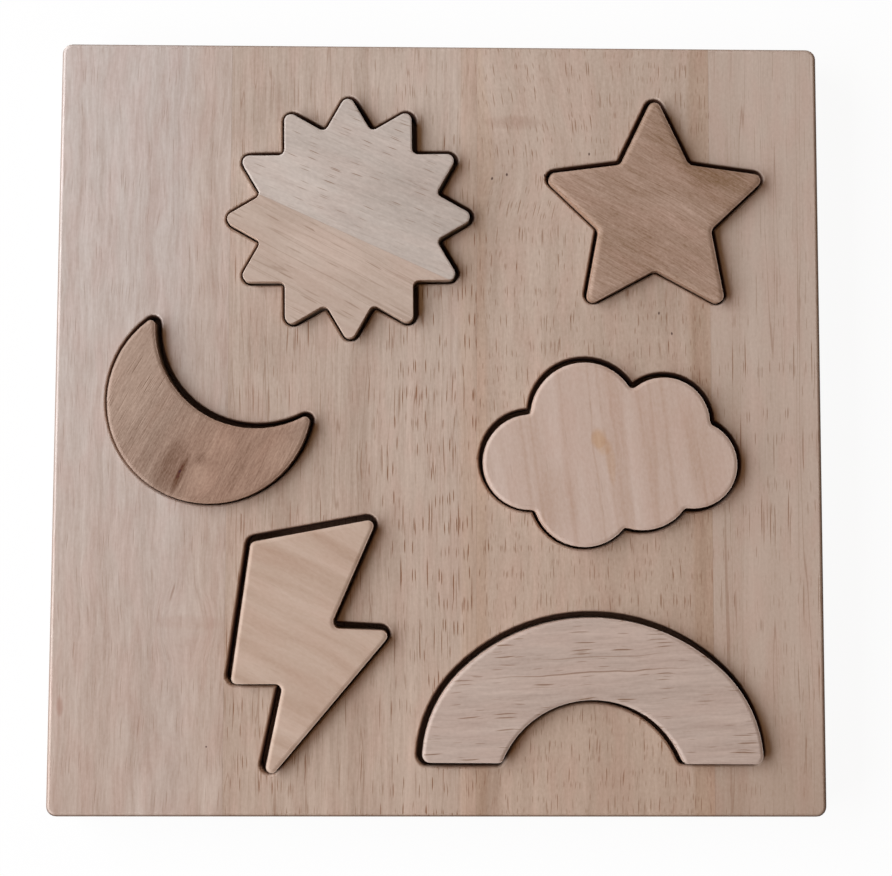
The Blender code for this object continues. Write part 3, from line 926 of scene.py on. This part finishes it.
class PUZZLE_OT_rainbow(Operator, FigureOperator):
    """Dress the rainbow"""

    bl_idname = "puzzle.rainbow"
    bl_label = "Rainbow"

    def execute(self, context):
        settings = context.scene.puzzle_figures
        wood = wood_of("rainbow", settings.rainbow_grain)
        wood.sway(0.8, 140, 30)
        wood.sway(0.6, 16, 6)
        fibres = wood.fibres(20, 1.7)
        tone = 0.28 + wood.noise(300, 9) * 0.2 + wood.noise(80, 2.4) * 0.18
        tone = tone + fibres * 0.44 + wood.mottle() * 0.16
        base = wood.shade(tone, settings.rainbow_pale, settings.rainbow_dark)
        strokes = wood.strokes(15, 0.85, 0.3) * 0.85 + wood.strokes(8, 0.75, 0.3) * 0.5
        base = wood.mix(strokes, base, settings.stroke)
        vein = wood.shading((57, -95.7, 46, 0.4, 0.7), (62, -89.5, 30, 0.35, 0.5))
        base = wood.mix(vein, base, settings.stroke)
        self.figure("rainbow", settings.rainbow_crown, self.surface(wood, base, fibres, strokes))
        return {"FINISHED"}


class PUZZLE_OT_stage(Operator):
    """Set the puzzle on a plain white floor under a soft light, and place the camera"""

    bl_idname = "puzzle.stage"
    bl_label = "Stage"

    def execute(self, context):
        settings = context.scene.puzzle_stage
        self.floor(context, settings)
        self.world(context, settings)
        self.window(context, settings)
        self.camera(context, settings)
        context.scene.view_settings.view_transform = "Standard"
        return {"FINISHED"}

    def shown_directly(self, shader):
        """1 for rays that show the background as such: the camera's, and those of gloss and glass."""
        camera = shader.add("ShaderNodeLightPath", {}, {}, "Is Camera Ray")
        shown = camera + camera.other("Is Glossy Ray") + camera.other("Is Transmission Ray")
        return shader.ramp(shown, 0.0, 1.0)

    def floor(self, context, settings):
        shape = bmesh.new()
        bmesh.ops.create_grid(shape, x_segments=1, y_segments=1, size=settings.floor_size / 2)
        mesh = bpy.data.meshes.new("floor")
        shape.to_mesh(mesh)
        shape.free()
        shader = Shader(bpy.data.materials.new("white_floor"))
        painted = shader.add(
            "ShaderNodeBsdfPrincipled", {}, {"Base Color": (*settings.floor_colour, 1), "Roughness": 0.9}
        )
        glowing = shader.add("ShaderNodeEmission", {}, {"Color": (1, 1, 1, 1), "Strength": 1.0})
        shown = self.shown_directly(shader) * settings.floor_glow
        both = shader.add("ShaderNodeMixShader", {}, {0: shown, 1: painted, 2: glowing})
        shader.add("ShaderNodeOutputMaterial", {}, {"Surface": both})
        mesh.materials.append(shader.owner)
        floor = bpy.data.objects.new("floor", mesh)
        context.scene.collection.objects.link(floor)

    def world(self, context, settings):
        world = bpy.data.worlds.new("white_room")
        context.scene.world = world
        shader = Shader(world)
        even = shader.add(
            "ShaderNodeBackground",
            {},
            {"Color": (*settings.room_colour, 1), "Strength": settings.room_light},
        )
        white = shader.add("ShaderNodeBackground", {}, {"Color": (1, 1, 1, 1), "Strength": 1.0})
        both = shader.add("ShaderNodeMixShader", {}, {0: self.shown_directly(shader), 1: even, 2: white})
        shader.add("ShaderNodeOutputWorld", {}, {"Surface": both})

    def window(self, context, settings):
        lamp = bpy.data.lights.new("window", "AREA")
        lamp.energy = settings.window_power
        lamp.color = settings.window_colour
        lamp.shape = "RECTANGLE"
        lamp.size = settings.window_width
        lamp.size_y = settings.window_height
        holder = bpy.data.objects.new("window", lamp)
        holder.location = settings.window_place
        holder.rotation_euler = (-Vector(settings.window_place)).to_track_quat("-Z", "Y").to_euler()
        context.scene.collection.objects.link(holder)

    def camera(self, context, settings):
        view = bpy.data.cameras.new("camera")
        view.lens = settings.lens
        view.clip_start = 0.01
        holder = bpy.data.objects.new("camera", view)
        holder.location = settings.camera_place
        holder.rotation_euler = settings.camera_turn
        context.scene.collection.objects.link(holder)
        context.scene.camera = holder


class PUZZLE_PT_panel(Panel):
    """The puzzle's pieces, one button each"""

    bl_idname = "PUZZLE_PT_panel"
    bl_label = "Wooden puzzle"
    bl_space_type = "VIEW_3D"
    bl_region_type = "UI"
    bl_category = "Puzzle"

    def draw(self, context):
        for operator in OPERATORS:
            self.layout.operator(operator.bl_idname)
        for group in (context.scene.puzzle_board, context.scene.puzzle_figures, context.scene.puzzle_stage):
            box = self.layout.box()
            for name in group.__annotations__:
                box.prop(group, name)


OPERATORS = (
    PUZZLE_OT_board,
    PUZZLE_OT_sun,
    PUZZLE_OT_star,
    PUZZLE_OT_moon,
    PUZZLE_OT_cloud,
    PUZZLE_OT_bolt,
    PUZZLE_OT_rainbow,
    PUZZLE_OT_stage,
)
CLASSES = (BoardSettings, FigureSettings, StageSettings, *OPERATORS, PUZZLE_PT_panel)


def register():
    for item in CLASSES:
        bpy.utils.register_class(item)
    bpy.types.Scene.puzzle_board = PointerProperty(type=BoardSettings)
    bpy.types.Scene.puzzle_figures = PointerProperty(type=FigureSettings)
    bpy.types.Scene.puzzle_stage = PointerProperty(type=StageSettings)


def unregister():
    del bpy.types.Scene.puzzle_stage
    del bpy.types.Scene.puzzle_figures
    del bpy.types.Scene.puzzle_board
    for item in reversed(CLASSES):
        bpy.utils.unregister_class(item)


def main():
    """Clears the start-up objects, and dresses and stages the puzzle."""
    for old in list(bpy.data.objects):
        if old.name in ("Cube", "Light", "Camera"):
            bpy.data.objects.remove(old)
    register()
    bpy.ops.puzzle.board()
    bpy.ops.puzzle.sun()
    bpy.ops.puzzle.star()
    bpy.ops.puzzle.moon()
    bpy.ops.puzzle.cloud()
    bpy.ops.puzzle.bolt()
    bpy.ops.puzzle.rainbow()
    bpy.ops.puzzle.stage()


if __name__ == "__main__":
    main()
